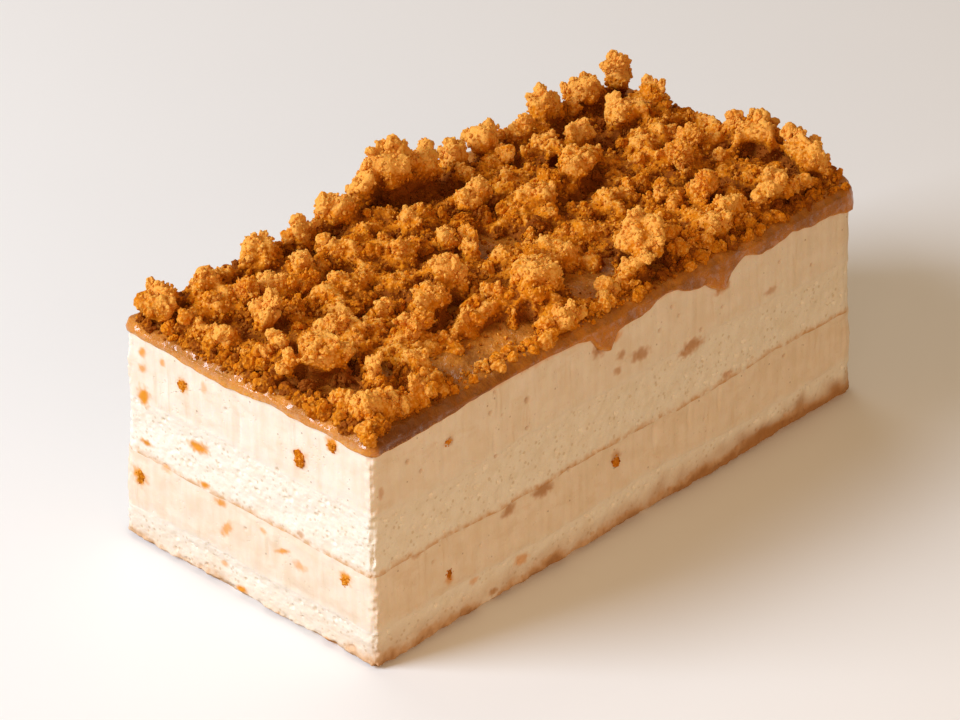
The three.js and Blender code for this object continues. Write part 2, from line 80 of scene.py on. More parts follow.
class Paint:  # one material and the nodes in it
    def __init__(self, name):
        self.material = bpy.data.materials.new(name)
        self.material.use_nodes = True
        self.tree = self.material.node_tree
        self.tree.nodes.clear()
        self.place = self.node("ShaderNodeTexCoord", output="Object")

    def node(self, kind, settings=None, inputs=None, output=0):
        made = self.tree.nodes.new(kind)
        for key, value in (settings or {}).items():
            setattr(made, key, value)
        for key, value in (inputs or {}).items():
            if isinstance(value, Wire):
                self.tree.links.new(value.socket, made.inputs[key])
            else:
                made.inputs[key].default_value = value
        return Wire(self, made.outputs[output])

    def attribute(self, name):
        return self.node("ShaderNodeAttribute", {"attribute_name": name}, output="Fac")

    def stretched(self, x, y, z):  # the object's place, with each axis stretched
        return self.node("ShaderNodeMapping", {}, {"Vector": self.place, "Scale": (x, y, z)})

    def noise(self, size, detail=3, roughness=0.55, place=None):  # size in mm
        inputs = {"Vector": place or self.place, "Scale": 1 / (size * mm)}
        inputs.update({"Detail": detail, "Roughness": roughness})
        return self.node("ShaderNodeTexNoise", {}, inputs)

    def cells(self, size):  # size in mm
        inputs = {"Vector": self.place, "Scale": 1 / (size * mm)}
        return self.node("ShaderNodeTexVoronoi", {}, inputs, "Distance")

    def step(self, value, low, high):  # 0 below low, 1 above high, smooth between
        settings = {"interpolation_type": "SMOOTHSTEP"}
        return self.node("ShaderNodeMapRange", settings, {"Value": value, "From Min": low, "From Max": high})

    def mix(self, share, first, second):
        return self.node("ShaderNodeMix", {"data_type": "RGBA"}, {0: share, 6: first, 7: second}, output=2)

    def bump(self, height, distance, strength):  # distance in mm
        inputs = {"Height": height, "Distance": distance * mm, "Strength": strength}
        return self.node("ShaderNodeBump", {}, inputs)

    def finish(self, inputs):  # the inputs of the Principled shader
        shader = self.node("ShaderNodeBsdfPrincipled", {"subsurface_method": "RANDOM_WALK"}, inputs)
        output = self.tree.nodes.new("ShaderNodeOutputMaterial")
        self.tree.links.new(shader.socket, output.inputs["Surface"])
        return self.material


def rgb(red, green, blue):
    return (red, green, blue, 1.0)


# The camera stands where the photograph was taken from

photoView = {
    "turn": -46.5,  # degrees from looking along the slice's width
    "height": 30.38,  # degrees above the table
    "distance": 609.2,
    "target": (-1.56, 2.98, 17.0),
    "lens": 154.8,
    "sensor": 36.0,
    "clip": (0.01, 20),
}


def makeCamera():
    turn = math.radians(photoView["turn"] - 90)
    rise = math.radians(photoView["height"])
    away = Vector((math.cos(rise) * math.cos(turn), math.cos(rise) * math.sin(turn), math.sin(rise)))
    camera = bpy.data.cameras.new("photo_camera")
    camera.lens = photoView["lens"]
    camera.sensor_width = photoView["sensor"]
    camera.clip_start, camera.clip_end = photoView["clip"]
    stand = bpy.data.objects.new("photo_camera", camera)
    stand.location = (Vector(photoView["target"]) + away * photoView["distance"]) * mm
    stand.rotation_euler = away.to_track_quat("Z", "Y").to_euler()
    scene.collection.objects.link(stand)
    scene.camera = stand


makeCamera()
print("camera set")


# Light: a large window to the left and behind, a warm room in front, and a pale table

light = {
    "window": {
        "from": (-0.80, 0.46, 0.56), "distance": 900,
        "size": (460, 460), "watts": 10.3, "tint": (0.77, 0.83, 0.96),
    },
    "room": {
        "from": (-0.46, -0.82, 0.34), "distance": 300,
        "size": (280, 220), "watts": 0.31, "tint": (1.0, 0.69, 0.47),
    },
    "above": {
        "from": (0.25, 0.62, 0.74), "distance": 900,
        "size": (400, 400), "watts": 0.8, "tint": (1.0, 0.95, 0.9),
    },
}
air = {"tint": (1.0, 0.69, 0.41), "strength": 0.34}
table = {"size": 4000, "colour": (0.90, 0.93, 0.92), "grain": 40, "grainShade": 0.985, "roughness": 0.7}


def makeLights():
    for name, lamp in light.items():
        data = bpy.data.lights.new(name, "AREA")
        data.shape = "RECTANGLE"
        data.size, data.size_y = (side * mm for side in lamp["size"])
        data.energy = lamp["watts"]
        data.color = lamp["tint"]
        away = Vector(lamp["from"]).normalized()
        stand = bpy.data.objects.new(name, data)
        stand.location = away * lamp["distance"] * mm
        stand.rotation_euler = away.to_track_quat("Z", "Y").to_euler()
        stand.visible_camera = False
        scene.collection.objects.link(stand)
    world = bpy.data.worlds.new("room_air")
    world.use_nodes = True
    sky = world.node_tree.nodes["Background"]
    sky.inputs["Color"].default_value = rgb(*air["tint"])
    sky.inputs["Strength"].default_value = air["strength"]
    scene.world = world
    scene.view_settings.view_transform = "Standard"


def makeTable():
    bm = bmesh.new()
    bmesh.ops.create_grid(bm, x_segments=1, y_segments=1, size=table["size"] / 2 * mm)
    mesh = bpy.data.meshes.new("table_top")
    bm.to_mesh(mesh)
    bm.free()
    top = bpy.data.objects.new("table_top", mesh)
    scene.collection.objects.link(top)
    paint = Paint("pale_table")
    darker = rgb(*(c * table["grainShade"] for c in table["colour"]))
    colour = paint.mix(paint.noise(table["grain"], 2), rgb(*table["colour"]), darker)
    mesh.materials.append(paint.finish({"Base Color": colour, "Roughness": table["roughness"]}))
    top.visible_diffuse = False  # its white doesn't spill back onto the cut sides


makeLights()
makeTable()
print("lights and table made")


# Shared ways of shaping

mostHalvings = 7


def copyOfNode(name):  # the frame's own mesh stays as it is
    bm = bmesh.new()
    bm.from_mesh(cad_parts[name].data)
    bmesh.ops.remove_doubles(bm, verts=bm.verts, dist=0.001 * mm)
    return bm


def splitLongEdges(bm, limit, wanted=None):  # halves the wanted edges until none is longer than limit, in mm
    for turn in range(mostHalvings):
        longEdges = [e for e in bm.edges if e.calc_length() > limit * mm and (wanted is None or wanted(e))]
        if not longEdges:
            return
        bmesh.ops.subdivide_edges(bm, edges=longEdges, cuts=1)
        bmesh.ops.triangulate(bm, faces=[f for f in bm.faces if len(f.verts) > 3])


def smoothed(bm, verts, upDown=True):
    bmesh.ops.smooth_vert(bm, verts=verts, factor=0.5, use_axis_x=True, use_axis_y=True, use_axis_z=upDown)


def addPiece(name, bm, material, replaced=()):
    mesh = bpy.data.meshes.new(name)
    bm.to_mesh(mesh)
    bm.free()
    piece = bpy.data.objects.new(name, mesh)
    scene.collection.objects.link(piece)
    mesh.materials.append(material)
    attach(piece, "root")
    if replaced:
        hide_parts(*replaced)
    print(name, "made with", sum(len(p.vertices) - 2 for p in mesh.polygons), "triangles")
    return piece


def lot(point):  # a repeatable number from 0 to 1 for a place
    return (math.sin(point.x * 12.99 + point.y * 78.23 + point.z * 37.72) * 43758.55) % 1.0


def ease(value, low, high):
    share = min(max((value - low) / (high - low), 0.0), 1.0)
    return share * share * (3 - 2 * share)


cornerRound = 3.0
aboveAll = 60  # a height in mm over the whole slice, from which rays are cast down


def levelBox(name, low, high):  # the box of a node's corners between two heights, in mm
    level = [v.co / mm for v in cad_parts[name].data.vertices if low <= v.co.z / mm <= high]
    lowest = Vector([min(co[axis] for co in level) for axis in range(3)])
    highest = Vector([max(co[axis] for co in level) for axis in range(3)])
    return lowest, highest


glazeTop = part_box("biscuit_crumbs")[0].z / mm
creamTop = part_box("upper_cream")[1].z / mm
topLow, topHigh = levelBox("upper_cream", creamTop - 0.1, creamTop + 0.1)
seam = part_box("middle_sponge")[0].z / mm
seamLow, seamHigh = levelBox("middle_sponge", seam, seam + 1)


def outlineAt(height):  # the lowest and highest corner of the cut outline at a height, in mm
    share = (creamTop - height) / (creamTop - seam)
    return topLow + (seamLow - topLow) * share, topHigh + (seamHigh - topHigh) * share


def insetOf(place):  # how far a place lies inside the cut sides, along and across the slice, in mm
    low, high = outlineAt(place.z)
    return min(place.x - low.x, high.x - place.x), min(place.y - low.y, high.y - place.y)


def wayOut(place):  # the level direction out of the slice at a place in mm
    along, across = insetOf(place)
    signs = (math.copysign(1, place.x), math.copysign(1, place.y))
    if along < cornerRound and across < cornerRound:
        return Vector((signs[0] * (cornerRound - along), signs[1] * (cornerRound - across), 0)).normalized()
    if along < across:
        return Vector((signs[0], 0, 0))
    return Vector((0, signs[1], 0))


# The four cut layers

cutSides = {
    "edgeLength": {"sponge": 0.3, "cream": 0.38},
    "wander": 0.14,  # how far the cut strays in or out, over wanderLength
    "wanderLength": 15,
    "seamBump": 0.16,  # cream pressed out where two layers meet
    "seamReach": 0.8,
    "seamLength": 3.2,
    "sway": 0.4,  # how far the seams rise and fall, over swayLength
    "swayLength": 5.0,
    "swayReach": 2.2,
    "bitLimit": 0.1,  # how far the bumps under the stuck bits may stand out
}
spongeRelief = {
    "crumb": 0.1,
    "crumbSize": 1.2,
    "poreSpacing": 1.15,
    "pore": 0.3,
    "poreShare": 0.34,
    "poreLeast": 0.16,  # the smallest pore's radius, and how much more the largest has
    "poreMore": 0.3,
    "calm": 0.35,  # the relief fades out over this height beside a seam
}
creamRelief = {"drag": 0.085, "dragSize": 1.1, "dragLength": 14, "lump": 0.11, "lumpSize": 2.4, "calm": 0.8}
corners = {"rough": 0.3, "roughSize": 0.9, "from": 0.4, "to": 1.8}  # the upright edges are rubbed
footCrust = {"rough": 0.32, "size": 1.7, "fineSize": 0.7, "from": 0.8, "to": 1.6}  # it is uneven
browning = {  # the base sponge is darker low along its front, and more so to the right: partly browning, partly painted shade on the front side
    "patchSize": 4,
    "ragged": 1.5,
    "raggedSize": 3,
    "low": (1.0, 5.5),
    "inward": 2.5,
    "least": 0.35,
    "more": 0.7,
    "moreFrom": -10,
    "moreTo": 34,
}
grooves = [  # knife marks on the cut sides: side, along, height, width, length, degrees from upright, depth
    ("front", -27.1, 32.0, 0.5, 4.4, 0, 0.22),
    ("front", -27.9, 25.8, 0.5, 5.6, 0, 0.2),
    ("front", -32.6, 25.0, 0.5, 6.4, 62, 0.2),
    ("front", 5.7, 12.4, 1.6, 5.6, 0, 0.2),
    ("front", 13.3, 12.2, 0.9, 5.0, 0, 0.2),
    ("front", 20.0, 12.6, 0.9, 5.2, 0, 0.2),
    ("front", -12.0, 31.0, 0.5, 4.6, 0, 0.14),
    ("front", 37.0, 28.0, 0.5, 6.0, 8, 0.14),
    ("left", 1.4, 28.0, 0.5, 7.0, 0, 0.14),
    ("left", -4.0, 10.5, 0.6, 5.0, 0, 0.12),
    ("back", -20.0, 29.0, 0.6, 6.0, 4, 0.2),
    ("back", 14.0, 11.5, 1.2, 5.4, 0, 0.2),
    ("right", 6.0, 28.5, 0.6, 6.4, 0, 0.2),
]
pits = [  # burst bubbles in the cream, dented and painted darker inside as shade: side, along, height, width
    ("front", -44.8, 30.5, 1.2),
    ("front", -42.3, 28.0, 1.0),
    ("front", -28.5, 31.1, 1.1),
    ("front", -27.5, 34.0, 0.8),
    ("front", -26.1, 29.7, 0.8),
    ("front", -27.5, 23.8, 0.9),
    ("front", -21.1, 30.0, 1.5),
    ("front", -21.1, 25.4, 1.1),
    ("front", -5.7, 31.2, 0.9),
    ("front", 6.9, 29.4, 1.1),
    ("front", 9.5, 32.2, 1.0),
    ("front", 11.0, 30.2, 0.9),
    ("front", 16.0, 25.8, 1.0),
    ("front", 20.8, 27.6, 0.9),
    ("front", 33.5, 30.0, 1.0),
    ("front", 41.0, 26.5, 0.9),
    ("front", -40.5, 12.5, 1.0),
    ("front", -31.0, 10.8, 0.8),
    ("front", -12.5, 14.8, 1.1),
    ("front", 16.8, 10.4, 0.9),
    ("front", 35.0, 13.5, 1.0),
    ("left", 4.0, 30.0, 0.9),
    ("left", -6.0, 24.5, 0.8),
    ("left", 0.5, 12.0, 0.9),
    ("right", 3.0, 31.0, 1.1),
    ("right", -12.0, 24.5, 0.9),
    ("right", 15.0, 13.0, 1.0),
    ("back", -36.0, 30.0, 1.1),
    ("back", -8.0, 25.5, 1.0),
    ("back", 17.0, 31.0, 0.9),
    ("back", 40.0, 12.0, 1.0),
]
pitDepth = 0.35
pitShade = 0.6
stains = [  # crumb oil and smears: side, along, height, wide, tall, degrees of tilt, orange, brown
    ("left", 20.9, 32.3, 1.7, 1.6, 0, 0.91, 0.0),
    ("left", 21.1, 29.7, 1.7, 1.6, 0, 0.78, 0.0),
    ("left", 21.1, 25.1, 2.7, 3.6, 0, 1.0, 0.0),
    ("left", 12.8, 30.3, 2.4, 2.6, 0, 1.0, 0.0),
    ("left", 8.4, 31.7, 1.6, 2.1, 0, 0.51, 0.0),
    ("left", 16.8, 32.2, 1.2, 1.3, 0, 0.78, 0.0),
    ("left", 21.0, 17.4, 2.7, 1.0, 0, 1.0, 0.2),
    ("left", 10.2, 21.1, 4.5, 2.1, -12, 1.0, 0.1),
    ("left", 8.8, 15.6, 2.1, 1.3, 0, 1.0, 0.1),
    ("left", 22.5, 11.2, 3.4, 3.2, 0, 1.0, 0.0),
    ("left", -10.6, 28.1, 3.3, 3.5, 0, 0.64, 0.0),
    ("left", -16.8, 33.0, 2.6, 2.4, 0, 1.0, 0.0),
    ("left", 5.5, 14.2, 2.5, 1.5, 0, 0.91, 0.1),
    ("left", 16.9, 14.9, 2.5, 1.5, 0, 0.51, 0.0),
    ("left", 4.4, 10.3, 1.7, 3.8, 35, 0.78, 0.0),
    ("left", -10.4, 15.9, 1.8, 1.0, 0, 0.37, 0.4),
    ("left", -19.4, 12.7, 2.6, 2.2, 0, 1.0, 0.0),
    ("left", -3.1, 13.2, 1.4, 1.0, 0, 0.64, 0.0),
    ("left", -10.3, 10.6, 2.6, 1.5, 0, 0.64, 0.0),
    ("left", -6.9, 11.6, 3.4, 0.9, -25, 0.91, 0.0),
    ("left", 5.2, 4.1, 1.8, 1.1, 0, 0.64, 0.0),
    ("left", 1.6, 1.4, 2.4, 1.2, 0, 1.0, 0.1),
    ("left", -15.7, 0.6, 2.6, 1.2, 0, 0.78, 0.4),
    ("front", -36.8, 30.2, 2.4, 1.4, 0, 0.2, 0.5),
    ("front", -25.2, 13.9, 3.1, 1.8, 10, 0.3, 0.7),
    ("front", -18.0, 14.1, 4.4, 2.3, -8, 0.3, 0.75),
    ("front", -37.4, 8.2, 1.8, 1.8, 0, 0.6, 0.1),
    ("front", -32.4, 5.5, 1.8, 1.4, 0, 0.5, 0.0),
    ("front", -22.6, 4.4, 3.5, 1.9, 0, 0.6, 0.1),
    ("front", -28.6, 1.9, 2.2, 1.5, 0, 0.1, 0.6),
    ("front", -43.7, 15.2, 1.8, 1.0, 0, 0.3, 0.3),
    ("front", -50.1, 27.9, 1.2, 2.1, 0, 0.3, 0.3),
    ("front", 2.7, 27.3, 4.2, 2.4, -6, 0.35, 0.6),
    ("front", -1.5, 28.9, 2.1, 1.6, 0, 0.3, 0.55),
    ("front", -2.2, 26.7, 1.8, 1.3, 0, 0.3, 0.5),
    ("front", 13.9, 23.8, 5.6, 2.5, 2, 0.5, 0.6),
    ("front", 20.6, 31.0, 3.4, 2.2, 0, 0.8, 0.5),
    ("front", -5.9, 31.6, 3.6, 2.6, 0, 0.4, 0.6),
    ("front", -2.6, 32.4, 2.2, 1.8, 0, 0.8, 0.0),
    ("front", -2.7, 12.6, 2.2, 2.5, 0, 0.4, 0.5),
    ("front", 22.0, 15.8, 2.6, 1.5, 0, 0.4, 0.4),
    ("front", 31.4, 25.9, 2.8, 1.4, 0, 0.3, 0.4),
    ("right", -14.0, 27.0, 3.2, 1.8, 12, 0.4, 0.4),
    ("right", 9.0, 13.4, 3.0, 1.6, 0, 0.4, 0.4),
    ("right", -4.0, 5.0, 2.2, 1.5, 0, 0.5, 0.1),
    ("back", -30.0, 26.0, 4.2, 2.0, -16, 0.4, 0.5),
    ("back", 6.0, 28.4, 2.4, 1.8, 0, 0.5, 0.2),
    ("back", 24.0, 13.6, 3.6, 1.8, 0, 0.3, 0.6),
    ("back", -12.0, 5.2, 2.6, 1.6, 0, 0.5, 0.1),
]
stainEdge = {"rough": 0.4, "size": 0.8, "fine": 0.2, "fineSize": 0.4, "from": 0.35, "to": 1.3}
outFrom = {
    "front": Vector((0, -1, 0)),
    "back": Vector((0, 1, 0)),
    "left": Vector((-1, 0, 0)),
    "right": Vector((1, 0, 0)),
}


def onSide(side, along, height):  # a place in mm on a cut side
    low, high = outlineAt(height)
    out = outFrom[side]
    x = along if out.x == 0 else (high.x if out.x > 0 else low.x)
    y = along if out.y == 0 else (high.y if out.y > 0 else low.y)
    return Vector((x, y, height))


def ovalShare(place, mark):  # 0 in the middle of an oval mark on a cut side, 1 at its rim
    side, along, height, wide, tall, tilt = mark[:6]
    turn = math.radians(tilt)
    across = (place.x if outFrom[side].x == 0 else place.y) - along
    up = place.z - height
    first = across * math.cos(turn) + up * math.sin(turn)
    second = up * math.cos(turn) - across * math.sin(turn)
    return math.hypot(first / (wide / 2), second / (tall / 2))


def seamBump(place, distance):  # the same for both layers that meet at a seam
    along = noise.noise(Vector((place.x, place.y, 0)) / cutSides["seamLength"]) + 0.15
    return cutSides["seamBump"] * max(0, along) * math.exp(-((distance / cutSides["seamReach"]) ** 2))


def seamSway(place, distance):
    level = Vector((place.x, place.y, 0))
    rise = noise.noise(level / cutSides["swayLength"]) + 0.4 * noise.noise(level / 1.3)
    return cutSides["sway"] * rise * (1 - ease(distance, 0, cutSides["swayReach"]))


def spongeShift(place, depth):  # mm out of the cut, where depth is how far from the nearest seam
    inner = ease(depth, 0.0, spongeRelief["calm"])
    crumb = noise.turbulence(place / spongeRelief["crumbSize"], 3, False)
    distances, spots = noise.voronoi(place / spongeRelief["poreSpacing"])
    chance = lot(spots[0])
    pore = 0
    if chance < spongeRelief["poreShare"]:
        radius = spongeRelief["poreLeast"] + spongeRelief["poreMore"] * chance / spongeRelief["poreShare"]
        pore = max(0, 1 - (distances[0] / radius) ** 2) * spongeRelief["pore"]
    return (spongeRelief["crumb"] * crumb - pore) * inner


def creamShift(place, depth):
    inner = ease(depth, 0.0, creamRelief["calm"])
    out = wayOut(place)
    along = place.y if abs(out.x) > 0.7 else place.x
    stretched = (along / creamRelief["dragSize"], place.z / creamRelief["dragLength"], out.x * 3)
    drag = noise.noise(Vector(stretched))
    lump = noise.noise(place / creamRelief["lumpSize"])
    return (creamRelief["drag"] * drag + creamRelief["lump"] * lump) * inner


def cornerRoughness(place):
    near = 1 - ease(max(insetOf(place)), corners["from"], corners["to"])
    return corners["rough"] * noise.noise(place / corners["roughSize"]) * near


def markedVerts(places, mark, reach):  # the corners on a mark's own side that are near it, and their places
    for co, i, gap in places.find_range(onSide(*mark[:3]), reach):
        if wayOut(co).dot(outFrom[mark[0]]) > 0.8:
            yield co, i


def frontBrownAndShade(place, rise):  # how strongly the base sponge is browned and painted with shade at a place
    blotch = 0.75 + 0.8 * noise.noise(place / browning["patchSize"])
    inFront = (1 - ease(insetOf(place)[1], 0, browning["inward"])) if place.y < 0 else 0
    low = 1 - ease(rise + browning["ragged"] * noise.noise(place / browning["raggedSize"]), *browning["low"])
    more = browning["more"] * ease(place.x, browning["moreFrom"], browning["moreTo"])
    return blotch * low * inFront * (browning["least"] + more)


def nearestHeights(rim):  # finds the height of a rim beside a place
    tree = KDTree(len(rim))
    for i, v in enumerate(rim):
        tree.insert((v.co.x, v.co.y, 0), i)
    tree.balance()
    heights = [v.co.z for v in rim]
    return lambda co: heights[tree.find((co.x, co.y, 0))[1]]


def makeLayer(name, newName, kind, material):
    bm = copyOfNode(name)
    level = [f for f in bm.faces if abs(f.normal.z) > 0.85]
    hidden = [f for f in level if min(insetOf(f.calc_center_median() / mm)) > 2]
    bmesh.ops.delete(bm, geom=hidden, context="FACES")
    splitLongEdges(bm, cutSides["edgeLength"][kind])
    middleHeight = sum(corner.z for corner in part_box(name)) / 2
    rim = [v for v in bm.verts if v.is_boundary]
    lowerRim = nearestHeights([v for v in rim if v.co.z < middleHeight])
    upperRim = nearestHeights([v for v in rim if v.co.z > middleHeight])
    rise = bm.verts.layers.float.new("rise")
    fall = bm.verts.layers.float.new("fall")
    orange = bm.verts.layers.float.new("orange")
    brownAndShade = bm.verts.layers.float.new("brownAndShade")
    smoothed(bm, [v for v in bm.verts if not v.is_boundary], upDown=False)
    sideVerts = list(bm.verts)
    places = KDTree(len(sideVerts))
    for i, v in enumerate(sideVerts):
        places.insert(v.co / mm, i)
        v[rise] = (v.co.z - lowerRim(v.co)) / mm
        v[fall] = (upperRim(v.co) - v.co.z) / mm
    places.balance()
    shifts = [0.0] * len(sideVerts)
    sways = [0.0] * len(sideVerts)
    for i, v in enumerate(sideVerts):
        place = v.co / mm
        depth = max(0.0, min(v[rise], v[fall]))
        shift = cutSides["wander"] * noise.noise(place / cutSides["wanderLength"])
        shift += spongeShift(place, depth) if kind == "sponge" else creamShift(place, depth)
        if name != "base_sponge" or v[fall] < v[rise]:
            if name != "upper_cream" or v[rise] < v[fall]:
                shift += seamBump(place, depth)
                sways[i] = seamSway(place, depth)
        stuckOut = -min(insetOf(place))
        if kind == "cream" and stuckOut > cutSides["bitLimit"]:
            shift -= stuckOut - cutSides["bitLimit"]
        shifts[i] = shift + cornerRoughness(place)
    for mark in grooves:
        for co, i in markedVerts(places, mark, mark[4] + 2):
            shifts[i] -= mark[6] * (1 - ease(ovalShare(co, mark), 0.3, 1.0))
    for side, along, height, width in pits:
        for co, i, gap in places.find_range(onSide(side, along, height), width):
            hollow = 1 - ease(gap, 0.1 * width, 0.5 * width)
            shifts[i] -= pitDepth * hollow
            # painted shade: the darkening inside each pit goes into the same attribute as the brown stains
            sideVerts[i][brownAndShade] = max(sideVerts[i][brownAndShade], pitShade * hollow)
    for mark in stains:
        for co, i in markedVerts(places, mark, max(mark[3:5]) + 2):
            share = ovalShare(co, mark) + stainEdge["rough"] * noise.noise(co / stainEdge["size"])
            share += stainEdge["fine"] * noise.noise(co / stainEdge["fineSize"])
            soak = 1 - ease(share, stainEdge["from"], stainEdge["to"])
            v = sideVerts[i]
            v[orange] = max(v[orange], mark[6] * soak)
            v[brownAndShade] = max(v[brownAndShade], mark[7] * soak)
    for i, v in enumerate(sideVerts):
        v.co += (wayOut(v.co / mm) * shifts[i] + Vector((0, 0, sways[i]))) * mm
        if name == "base_sponge":
            v[brownAndShade] = max(v[brownAndShade], frontBrownAndShade(v.co / mm, v[rise]))
        if name == "base_sponge" and v[rise] < footCrust["to"]:
            place = v.co / mm
            foot = noise.noise(place / footCrust["size"]) + 0.6 * noise.noise(place / footCrust["fineSize"])
            near = 1 - ease(v[rise], footCrust["from"], footCrust["to"])
            v.co += wayOut(place) * footCrust["rough"] * foot * mm * near
    for f in bm.faces:
        f.smooth = True
    rimEdges = [e for e in bm.edges if e.is_boundary]
    for e in rimEdges:  # so that the shading of a side doesn't turn up or down at its seams
        e.smooth = False
    caps = bmesh.ops.holes_fill(bm, edges=rimEdges, sides=0)["faces"]
    bmesh.ops.triangulate(bm, faces=caps)
    bmesh.ops.recalc_face_normals(bm, faces=bm.faces)
    addPiece(newName, bm, material, [name])


sponge = {
    "crumb": rgb(0.94, 0.88, 0.75),
    "shade": rgb(0.88, 0.79, 0.63),
    # painted shade: the colour put inside the pores
    "pore": rgb(0.66, 0.53, 0.35),
    "toast": rgb(0.66, 0.34, 0.11),
    "crust": rgb(0.34, 0.15, 0.045),
    "patchSize": 2.2,
    "patches": 0.8,
    "poreSize": 0.95,
    "shadedPores": 0.62,
    "finePoreSize": 0.42,
    "finePoreShade": 0.12,
    "rubbedCream": 0.7,  # cream that the knife dragged over its upper edge
    "glowHeight": 6.0,  # the foot's faint browning, and the stronger one below it
    "glow": 0.28,
    "toastHeight": 1.6,
    "toasted": 0.65,
    "crustHeight": 0.5,
    "crusted": 0.85,
    "line": 0.9,  # the middle sponge's browned lower edge
    "lineHeight": 1.3,
    "bump": (0.1, 0.55),
    "soft": (0.1, (1.0, 0.75, 0.45), 0.5),
}
cream = {
    "upper": (rgb(0.94, 0.845, 0.705), rgb(0.88, 0.76, 0.595)),
    "lower": (rgb(0.925, 0.80, 0.64), rgb(0.86, 0.715, 0.53)),
    "smear": rgb(0.74, 0.54, 0.33),
    "speck": rgb(0.42, 0.30, 0.19),
    "streakSize": 1.3,
    "cloudSize": 3.6,
    "smearSize": 5.5,
    "smears": 0.3,
    "marks": 0.35,
    "dotSize": 1.5,
    "dots": 0.75,
    "rubbedSponge": 0.5,
    "soaked": 0.55,
    "pitSize": 0.8,
    "bump": (0.1, 0.6),
    "soft": (0.15, (1.0, 0.6, 0.3), 0.7),
}
# the brown colour is also painted shade, in the pits and low on the base's front
stainColours = {"orange": rgb(0.80, 0.31, 0.02), "brownAndShade": rgb(0.42, 0.19, 0.06)}


def withStains(paint, colour):
    colour = paint.mix(paint.attribute("orange"), colour, stainColours["orange"])
    return paint.mix(paint.attribute("brownAndShade"), colour, stainColours["brownAndShade"])


def softly(inputs, weight, radius, scale):  # light goes a little way into the food; scale in mm
    inputs.update({"Subsurface Weight": weight, "Subsurface Radius": radius, "Subsurface Scale": scale * mm})
    return inputs


def spongePaint(name, foot):
    paint = Paint(name)
    patches = paint.step(paint.noise(sponge["patchSize"], 4), 0.38, 0.72)
    colour = paint.mix(patches * sponge["patches"], sponge["crumb"], sponge["shade"])
    # painted shade: the pores, which the bump also dents, and the fine pores are coloured darker
    shadedPores = 1 - paint.step(paint.cells(sponge["poreSize"]), 0.16, 0.36)
    chosen = paint.step(paint.noise(1.9, 2), 0.43, 0.56)
    colour = paint.mix(shadedPores * chosen * sponge["shadedPores"], colour, sponge["pore"])
    fine = 1 - paint.step(paint.cells(sponge["finePoreSize"]), 0.12, 0.34)
    colour = paint.mix(fine * sponge["finePoreShade"], colour, sponge["pore"])
    rise = paint.attribute("rise")
    upper = paint.attribute("fall") + (paint.noise(1.6, 3) - 0.5) * 2.4
    rubbed = 1 - paint.step(upper, -0.2, 1.5)
    colour = paint.mix(rubbed * sponge["rubbedCream"], colour, cream["upper"][0])
    if foot:
        high = rise + (paint.noise(5.5, 3) - 0.5) * 6 + (paint.noise(1.1, 3) - 0.5) * 1.8
        high = high - paint.attribute("brownAndShade") * 3
        glow = (1 - paint.step(high, 0.1, sponge["glowHeight"])) * sponge["glow"]
        toasted = (1 - paint.step(high, 0.1, sponge["toastHeight"])) * sponge["toasted"]
        crusted = (1 - paint.step(high, -1.0, sponge["crustHeight"])) * sponge["crusted"]
        colour = paint.mix(glow, colour, sponge["toast"])
        colour = paint.mix(toasted, colour, sponge["toast"])
        colour = paint.mix(crusted, colour, sponge["crust"])
    else:
        ragged = rise + (paint.noise(1.3, 3) - 0.5) * 1.6
        broken = paint.step(paint.noise(1.9, 3), 0.3, 0.56)
        line = (1 - paint.step(ragged, -0.3, sponge["lineHeight"])) * broken
        colour = paint.mix(line * sponge["line"], colour, sponge["toast"])
    colour = withStains(paint, colour)
    height = paint.noise(0.5, 4, 0.65) + shadedPores * -0.6
    normal = paint.bump(height, *sponge["bump"])
    inputs = {"Base Color": colour, "Roughness": 0.92, "Specular IOR Level": 0.25, "Normal": normal}
    return paint.finish(softly(inputs, *sponge["soft"]))


def creamPaint(name, tones, soak):
    paint = Paint(name)
    streaks = paint.noise(cream["streakSize"], 3, 0.6, paint.stretched(1, 1, 0.12))
    clouds = paint.noise(cream["cloudSize"], 4)
    colour = paint.mix(paint.step(streaks * 0.3 + clouds * 0.7, 0.36, 0.64), *tones)
    smears = paint.step(paint.noise(cream["smearSize"], 4, 0.6, paint.stretched(1, 1, 2.2)), 0.54, 0.7)
    colour = paint.mix(smears * cream["smears"], colour, cream["smear"])
    marks = paint.step(streaks, 0.56, 0.7) * paint.step(paint.noise(9, 2), 0.4, 0.6)
    colour = paint.mix(marks * cream["marks"], colour, cream["smear"])
    dots = 1 - paint.step(paint.cells(cream["dotSize"]), 0.05, 0.15)
    some = paint.step(paint.noise(3.1, 2), 0.5, 0.6)
    colour = paint.mix(dots * some * cream["dots"], colour, cream["speck"])
    lower = paint.attribute("rise") + (paint.noise(1.6, 3) - 0.5) * 2.4
    rubbed = 1 - paint.step(lower, -0.4, 1.1)
    colour = paint.mix(rubbed * cream["rubbedSponge"], colour, sponge["crumb"])
    if soak:  # the glaze has soaked into the cream just below it
        edge = paint.attribute("fall") + (paint.noise(1.2, 2) - 0.5) * 1.3
        soaked = 1 - paint.step(edge, 0.1, 1.3)
        colour = paint.mix(soaked * cream["soaked"], colour, stainColours["orange"])
    colour = withStains(paint, colour)
    tinyPits = 1 - paint.step(paint.cells(cream["pitSize"]), 0.1, 0.24)
    height = streaks * 0.3 + paint.noise(0.6, 4) * 0.6 - tinyPits * some * 0.9
    normal = paint.bump(height, *cream["bump"])
    inputs = {"Base Color": colour, "Roughness": 0.58 + 0.2 * clouds, "Specular IOR Level": 0.3}
    inputs["Normal"] = normal
    return paint.finish(softly(inputs, *cream["soft"]))


